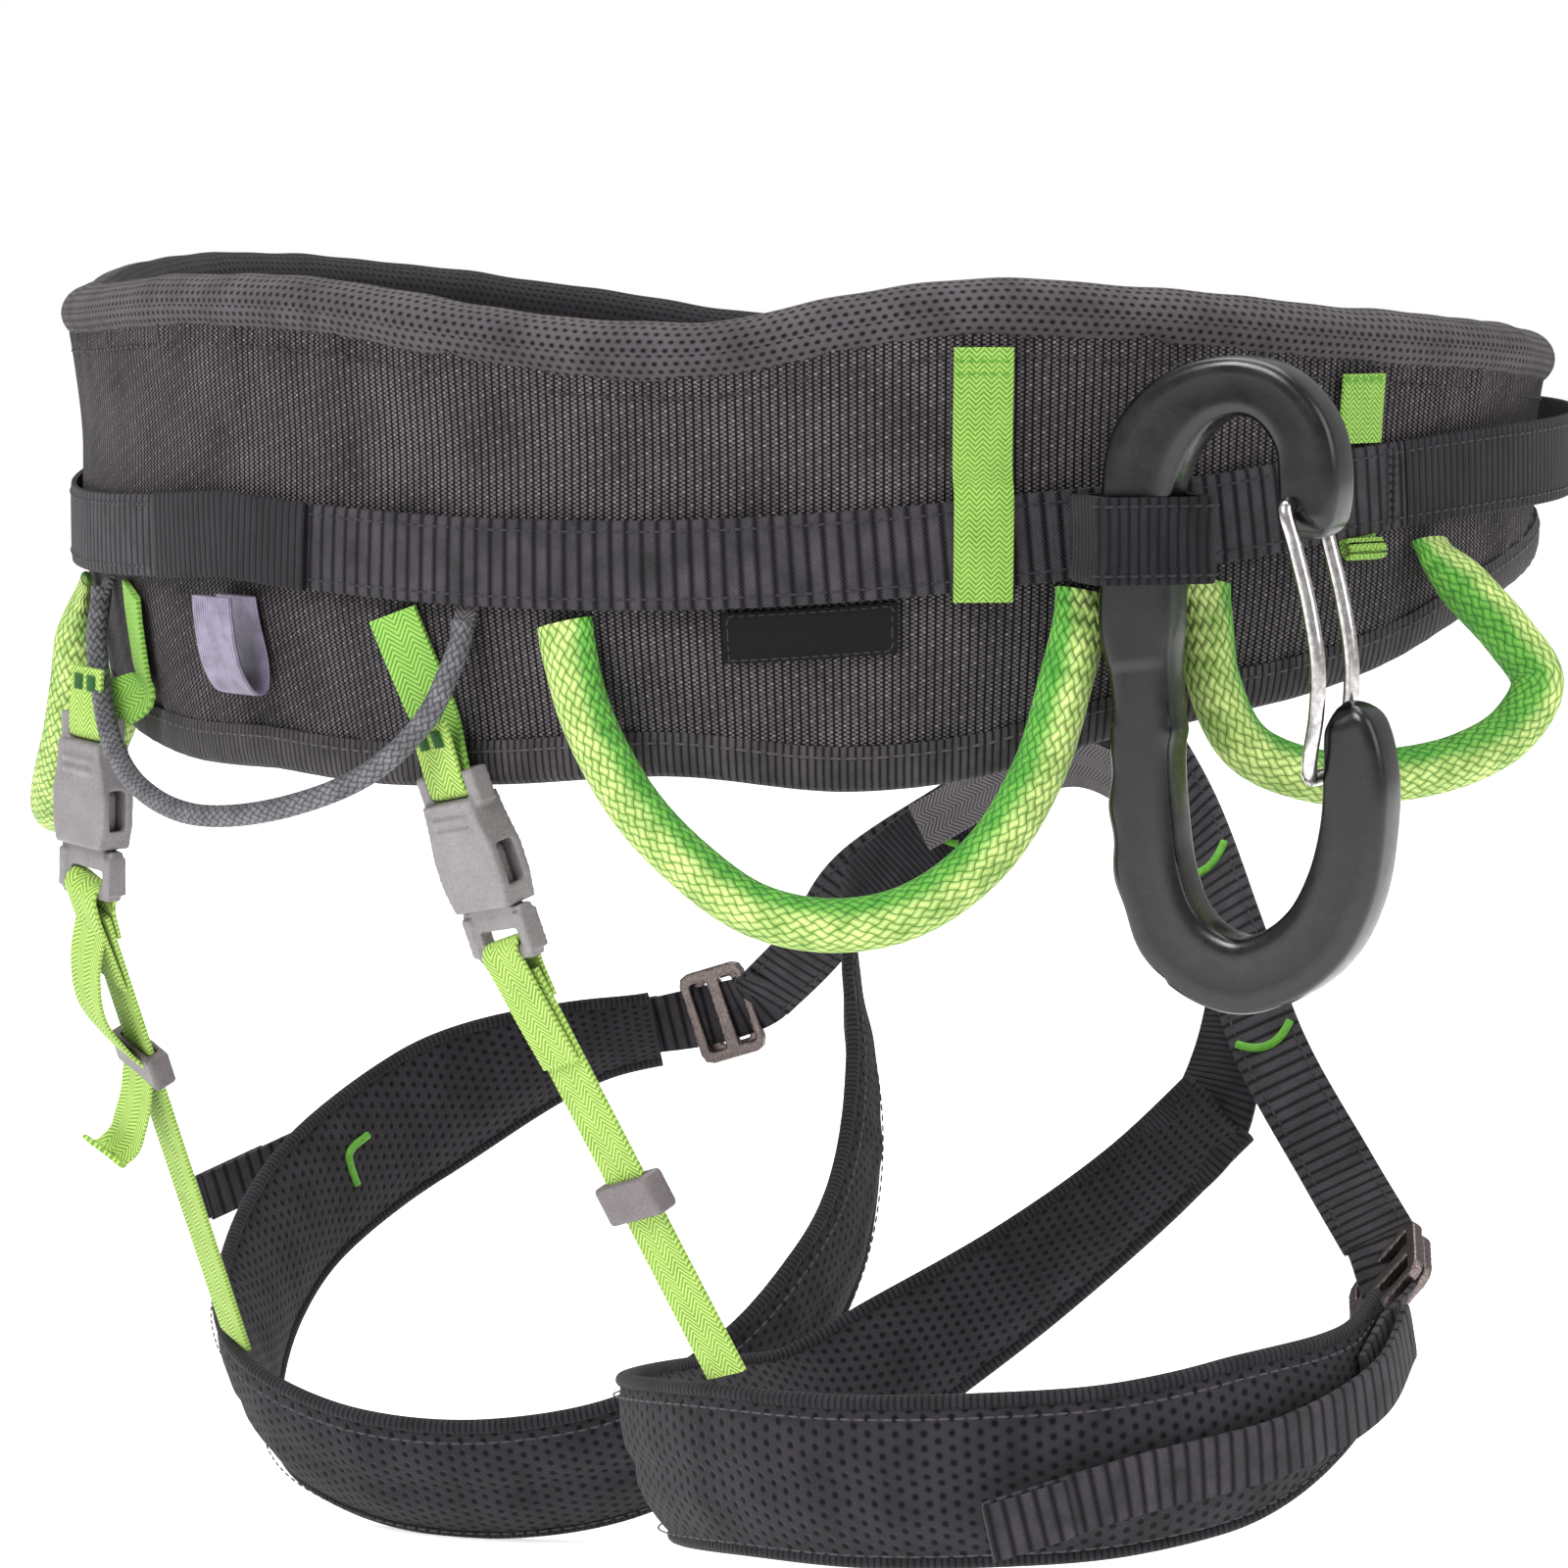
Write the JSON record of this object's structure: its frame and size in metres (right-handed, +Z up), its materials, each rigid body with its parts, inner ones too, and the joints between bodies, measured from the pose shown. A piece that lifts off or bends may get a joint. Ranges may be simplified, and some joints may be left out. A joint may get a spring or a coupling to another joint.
{
  "type": "tree climbing saddle",
  "caption": "Padded tree climbing saddle: waist belt with webbing and gear loops, two leg loops on elastic risers, belay loop and a clip-in tool holder.",
  "frame": {"origin": "centre of the waist opening at the mid height of the waist webbing", "axes": "+X to the wearer's left, -Y to the wearer's front, +Z up"},
  "size_m": [0.4654, 0.3659, 0.3191],
  "materials": {
    "black_nylon": "moulded satin",
    "black_webbing": "woven",
    "bronze_alloy": "anodised satin",
    "dark_plastic": "moulded satin",
    "foam": "woven",
    "green_braid": "woven",
    "green_webbing": "woven",
    "grey_braid": "woven",
    "grey_plastic": "moulded satin",
    "grey_webbing": "woven",
    "label_satin": "woven",
    "polished_steel": "polished",
    "shell_cloth": "woven",
    "spacer_mesh": "woven"
  },
  "bodies": {
    "harness": {"belt_foam": "foam", "belt_mesh_lining": "spacer_mesh", "belt_shell": "shell_cloth", "bottom_binding": "black_webbing", "buckle_housing_left": "grey_plastic", "buckle_housing_right": "grey_plastic", "elastic_strap_left": "green_webbing", "elastic_strap_right": "green_webbing", "front_strap_bridge": "black_webbing", "front_strap_left": "black_webbing", "front_strap_right": "black_webbing", "haul_cord": "grey_braid", "haul_tab": "grey_webbing", "keeper_front_left": "green_webbing", "keeper_front_right": "green_webbing", "keeper_rear_left": "green_webbing", "keeper_rear_right": "green_webbing", "leg_bridge": "black_webbing", "leg_buckle_frame_left": "bronze_alloy", "leg_buckle_frame_right": "bronze_alloy", "leg_cross_strap": "grey_webbing", "leg_pad_left": "spacer_mesh", "leg_pad_right": "spacer_mesh", "leg_tail_left": "black_webbing", "leg_tail_right": "black_webbing", "leg_tie_in_loop": "black_webbing", "leg_webbing_left": "black_webbing", "leg_webbing_right": "black_webbing", "riser_webbing_left": "green_webbing", "riser_webbing_right": "green_webbing", "tool_sleeve": "black_webbing", "top_roll": "spacer_mesh", "waist_buckle_frame": "bronze_alloy", "waist_tie_in_loop": "black_webbing", "waist_webbing": "black_webbing", "woven_label": "label_satin"},
    "tool_holder": {"tool_holder": "black_nylon"},
    "wire_gate": {"wire_gate": "polished_steel"},
    "gear_loop_rear_right": {"gear_loop_rear_right": "green_braid"},
    "gear_loop_front_right": {"gear_loop_front_right": "green_braid"},
    "buckle_plug_right": {"buckle_plug_right": "grey_plastic"},
    "strap_slider_right": {"strap_slider_right": "dark_plastic"},
    "gear_loop_rear_left": {"gear_loop_rear_left": "green_braid"},
    "gear_loop_front_left": {"gear_loop_front_left": "green_braid"},
    "buckle_plug_left": {"buckle_plug_left": "grey_plastic"},
    "strap_slider_left": {"strap_slider_left": "dark_plastic"},
    "leg_buckle_plate_right": {"leg_buckle_plate_right": "bronze_alloy"},
    "leg_buckle_plate_left": {"leg_buckle_plate_left": "bronze_alloy"},
    "waist_buckle_plate": {"waist_buckle_plate": "bronze_alloy"},
    "belay_loop": {"belay_loop": "black_webbing"}
  },
  "joints": [
    {"name": "tool_holder_lift", "type": "slide", "parent": "harness", "child": "tool_holder", "axis": [0, 0, 1], "range_m": [0, 0.015]},
    {"name": "wire_gate_hinge", "type": "hinge", "parent": "tool_holder", "child": "wire_gate", "pos_m": [-0.22327, 0.0529, 0.00874], "axis": [0.3527, -0.9357, 0], "range_deg": [0, 26], "stiffness_Nm_per_rad": 0.03, "springref_deg": -20.05},
    {"name": "gear_loop_rear_right_swing", "type": "hinge", "parent": "harness", "child": "gear_loop_rear_right", "pos_m": [-0.13423, 0.10674, -0.01513], "axis": [0.7342, 0.6755, -0.0673], "range_deg": [-4, 22], "stiffness_Nm_per_rad": 0.4},
    {"name": "gear_loop_front_right_swing", "type": "hinge", "parent": "harness", "child": "gear_loop_front_right", "pos_m": [-0.18874, 0.0117, -0.00639], "axis": [0.086, 0.9913, -0.0999], "range_deg": [-4, 22], "stiffness_Nm_per_rad": 0.4},
    {"name": "buckle_plug_right_release", "type": "slide", "parent": "harness", "child": "buckle_plug_right", "axis": [-0.1832, -0.2519, -0.9503], "range_m": [0, 0.018], "deforming": ["elastic_strap_right"]},
    {"name": "strap_slider_right_slide", "type": "slide", "parent": "harness", "child": "strap_slider_right", "axis": [-0.2829, -0.3512, -0.8926], "range_m": [-0.02, 0.02]},
    {"name": "gear_loop_rear_left_swing", "type": "hinge", "parent": "harness", "child": "gear_loop_rear_left", "pos_m": [0.13423, 0.10674, -0.01513], "axis": [0.7342, -0.6755, 0.0673], "range_deg": [-4, 22], "stiffness_Nm_per_rad": 0.4},
    {"name": "gear_loop_front_left_swing", "type": "hinge", "parent": "harness", "child": "gear_loop_front_left", "pos_m": [0.18874, 0.0117, -0.00639], "axis": [0.086, -0.9913, 0.0999], "range_deg": [-4, 22], "stiffness_Nm_per_rad": 0.4},
    {"name": "buckle_plug_left_release", "type": "slide", "parent": "harness", "child": "buckle_plug_left", "axis": [0.058, -0.0116, -0.9982], "range_m": [0, 0.018], "deforming": ["elastic_strap_left"]},
    {"name": "strap_slider_left_slide", "type": "slide", "parent": "harness", "child": "strap_slider_left", "axis": [0.2959, -0.4728, -0.83], "range_m": [-0.02, 0.02]},
    {"name": "leg_buckle_plate_right_tilt", "type": "hinge", "parent": "harness", "child": "leg_buckle_plate_right", "pos_m": [-0.16812, -0.03863, -0.1814], "axis": [0.6418, 0.1515, -0.7517], "range_deg": [0, 24]},
    {"name": "leg_buckle_plate_left_tilt", "type": "hinge", "parent": "harness", "child": "leg_buckle_plate_left", "pos_m": [0.14008, -0.08476, -0.15368], "axis": [0.2537, 0.1903, 0.9484], "range_deg": [0, 24]},
    {"name": "waist_buckle_plate_tilt", "type": "hinge", "parent": "harness", "child": "waist_buckle_plate", "pos_m": [0.10909, -0.14998, 0.0148], "axis": [0, 0, 1], "range_deg": [0, 24]},
    {"name": "belay_loop_twist", "type": "hinge", "parent": "harness", "child": "belay_loop", "pos_m": [0, -0.1429, -0.02], "axis": [0, -0.875, 0.4841], "range_deg": [-2.5, 2.5]}
  ]
}
